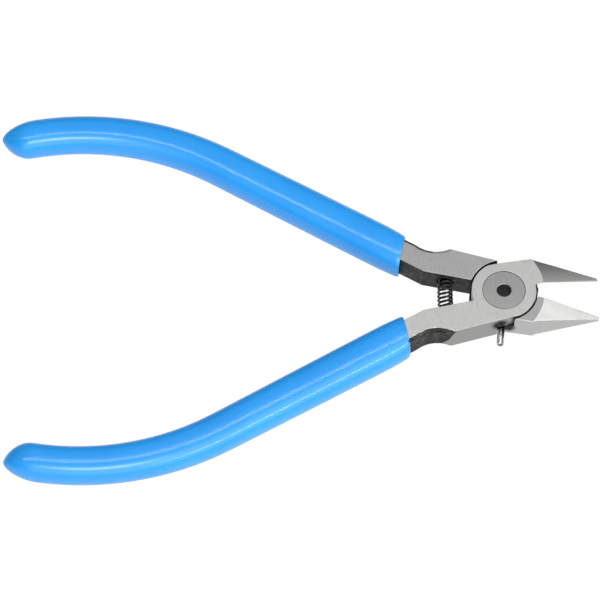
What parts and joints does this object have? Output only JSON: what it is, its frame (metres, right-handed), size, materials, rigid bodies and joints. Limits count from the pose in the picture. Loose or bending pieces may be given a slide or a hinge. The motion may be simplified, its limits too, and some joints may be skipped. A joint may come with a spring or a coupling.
{
  "type": "diagonal cutting pliers",
  "caption": "Small spring-return diagonal cutting pliers with a lap joint, bevelled jaws and dipped plastic grips, held open by a coil spring.",
  "frame": {"origin": "on the pivot axis, half way through the joint's thickness", "axes": "+X towards the jaw tips along the tool's axis, +Z along the pivot out of the face that the picture shows, +Y towards the upper handle"},
  "size_m": [0.1207, 0.083, 0.0074],
  "materials": {
    "ground_steel": "fine ground satin, with dark forged edges behind the shoulder",
    "ground_steel_back": "fine ground satin, with dark forged edges behind the shoulder",
    "rivet_steel": "flush ground",
    "spring_steel": "black oxide wire",
    "pin_steel": "bright",
    "grip_vinyl": "glossy dipped vinyl"
  },
  "bodies": {
    "front_half": {"front_lever": "ground_steel", "pivot_rivet": "rivet_steel", "return_spring": "spring_steel", "lower_grip": "grip_vinyl"},
    "back_half": {"back_lever": "ground_steel_back", "stop_pin": "pin_steel", "upper_grip": "grip_vinyl"}
  },
  "joints": [
    {"name": "jaw_pivot", "type": "hinge", "parent": "front_half", "child": "back_half", "pos_m": [0, 0, 0], "axis": [0, 0, 1], "range_deg": [0, 24], "stiffness_Nm_per_rad": 0.1, "springref_deg": -17.19, "deforming": ["return_spring"]}
  ]
}
